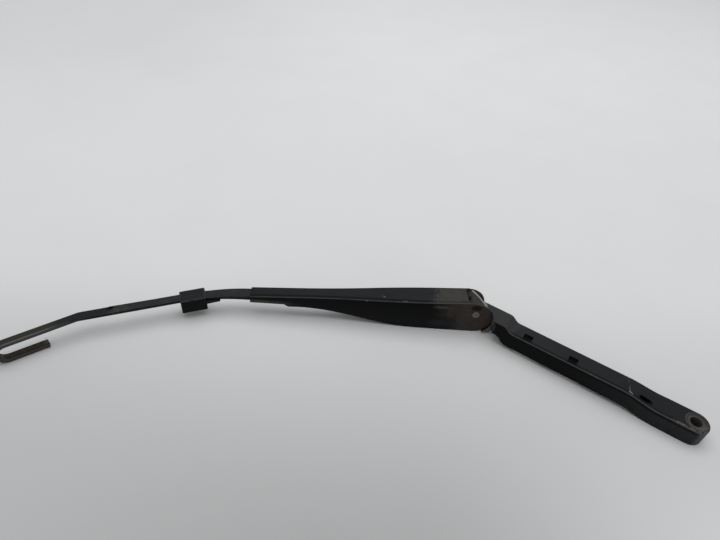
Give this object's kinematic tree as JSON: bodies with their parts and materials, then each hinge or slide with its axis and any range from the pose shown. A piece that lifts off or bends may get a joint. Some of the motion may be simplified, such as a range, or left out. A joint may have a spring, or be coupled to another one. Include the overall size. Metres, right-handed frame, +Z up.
{
  "type": "wiper arm",
  "caption": "Cranked wiper arm: hollow head with a tapered spindle bore, sprung folded-sheet channel on a hinge, and a bent flat rod that ends in a blade hook.",
  "frame": {"origin": "on the spindle bore axis, at the mouth of its taper, on the level that the arm lies on", "axes": "+Z up along the spindle bore, +X along the channel from the hook towards the head, +Y away from the viewer"},
  "size_m": [0.5876, 0.1324, 0.0362],
  "materials": {
    "black_paint": "satin, worn",
    "rod_paint": "dull, rusty at the hook",
    "pin_steel": "worn",
    "clip_plastic": "matte",
    "spring_steel": "dull, greasy"
  },
  "bodies": {
    "head": {"arm_head": "black_paint", "anchor_pin": "pin_steel"},
    "arm": {"retainer": "black_paint", "wiper_rod": "rod_paint", "rod_clip": "clip_plastic", "hinge_pin": "pin_steel"},
    "spring": {"spring_link": "spring_steel", "tension_spring": "spring_steel"}
  },
  "joints": [
    {"name": "arm_hinge", "type": "hinge", "parent": "head", "child": "arm", "pos_m": [-0.16594, 0.10984, 0.0228], "axis": [0, 1, 0], "range_deg": [0, 60], "stiffness_Nm_per_rad": 0.5, "springref_deg": -57.3, "deforming": ["tension_spring"]},
    {"name": "link_turn", "type": "hinge", "parent": "head", "child": "spring", "pos_m": [-0.16894, 0.10984, 0.0098], "axis": [0, 1, 0], "range_deg": [0, 58.1]}
  ],
  "couplings": [
    {"joint": "link_turn", "follows": "arm_hinge", "ratio": 0.967}
  ]
}
